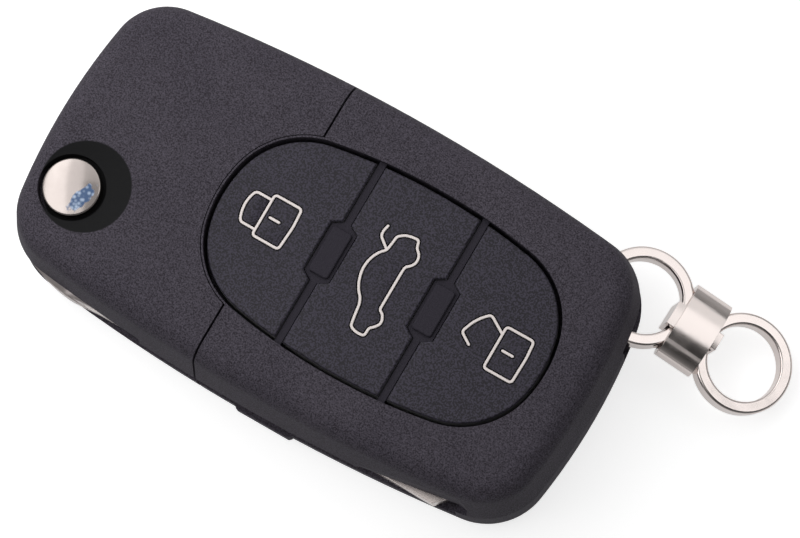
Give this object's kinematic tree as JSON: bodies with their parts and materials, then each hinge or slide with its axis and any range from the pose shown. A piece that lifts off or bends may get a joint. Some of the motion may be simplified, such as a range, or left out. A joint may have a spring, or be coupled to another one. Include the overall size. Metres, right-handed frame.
{
  "type": "flip key shell",
  "caption": "Flip-blade car key case with oval button pad, domed release button, side blade slot and a short ring chain at one corner.",
  "frame": {"origin": "centre of the flat back face of the case", "axes": "+X from the blade hinge to the ring corner, +Y away from the blade slot, +Z out through the buttons"},
  "size_m": [0.0846, 0.0384, 0.0155],
  "materials": {
    "case": "fine-speckled matt",
    "cap": "fine-speckled matt",
    "mat": "matt",
    "board": "lacquered laminate",
    "switch": "tin-plated shell",
    "plunger": "moulded",
    "cell": "satin nickel",
    "contact": "nickel-plated bronze",
    "chip": "moulded epoxy",
    "can": "plated can",
    "capacitor": "ceramic",
    "capsule": "clear glass",
    "screw": "zinc-plated",
    "carrier": "cast zinc",
    "blade": "nickel-plated",
    "spring": "drawn wire",
    "bright": "mirror plating"
  },
  "bodies": {
    "case": {"head_upper_shell": "case", "head_lower_shell": "case", "tail_upper_shell": "case", "tail_lower_shell": "case", "button_mat": "mat", "circuit_board": "board", "switch_bodies": "switch", "coin_cell": "cell", "battery_contact_positive": "contact", "battery_contact_negative": "contact", "controller_chip": "chip", "resonator": "can", "board_capacitors": "capacitor", "transponder_capsule": "capsule", "case_screws": "screw"},
    "blade_unit": {"blade_carrier": "carrier", "key_blade": "blade", "blade_pin": "screw", "flip_spring": "spring"},
    "release": {"release_button": "bright"},
    "lock_key": {"button_lock": "cap", "switch_plunger_lock": "plunger"},
    "trunk_key": {"button_trunk": "cap", "switch_plunger_trunk": "plunger"},
    "unlock_key": {"button_unlock": "cap", "switch_plunger_unlock": "plunger"},
    "inner_ring": {"ring_inner": "bright"},
    "connector": {"ring_connector": "bright"},
    "outer_ring": {"ring_outer": "bright"}
  },
  "joints": [
    {"name": "blade_flip", "type": "hinge", "parent": "case", "child": "blade_unit", "pos_m": [-0.0271, -0.0077, 0], "axis": [0, 0, -1], "range_deg": [0, 180]},
    {"name": "release_press", "type": "slide", "parent": "blade_unit", "child": "release", "axis": [0, 0, -1], "range_m": [0, 0.002], "stiffness_N_per_m": 1500, "springref_m": -0.001, "deforming": ["flip_spring"]},
    {"name": "lock_press", "type": "slide", "parent": "case", "child": "lock_key", "axis": [0, 0, -1], "range_m": [0, 0.0003], "stiffness_N_per_m": 3000, "springref_m": -0.0002},
    {"name": "trunk_press", "type": "slide", "parent": "case", "child": "trunk_key", "axis": [0, 0, -1], "range_m": [0, 0.0003], "stiffness_N_per_m": 3000, "springref_m": -0.0002},
    {"name": "unlock_press", "type": "slide", "parent": "case", "child": "unlock_key", "axis": [0, 0, -1], "range_m": [0, 0.0003], "stiffness_N_per_m": 3000, "springref_m": -0.0002},
    {"name": "ring_swivel", "type": "hinge", "parent": "case", "child": "inner_ring", "pos_m": [0.0302, 0.012, 0.0059], "axis": [0, 0, 1], "range_deg": [-15, 20]},
    {"name": "connector_turn", "type": "hinge", "parent": "inner_ring", "child": "connector", "pos_m": [0.0321, 0.01385, 0.0056], "axis": [0.1449, 0.1318, 0.9806], "range_deg": [-15, 40]},
    {"name": "outer_ring_turn", "type": "hinge", "parent": "connector", "child": "outer_ring", "pos_m": [0.04496, 0.01318, 0.00286], "axis": [0.2799, 0.1247, 0.9519], "continuous": true}
  ]
}
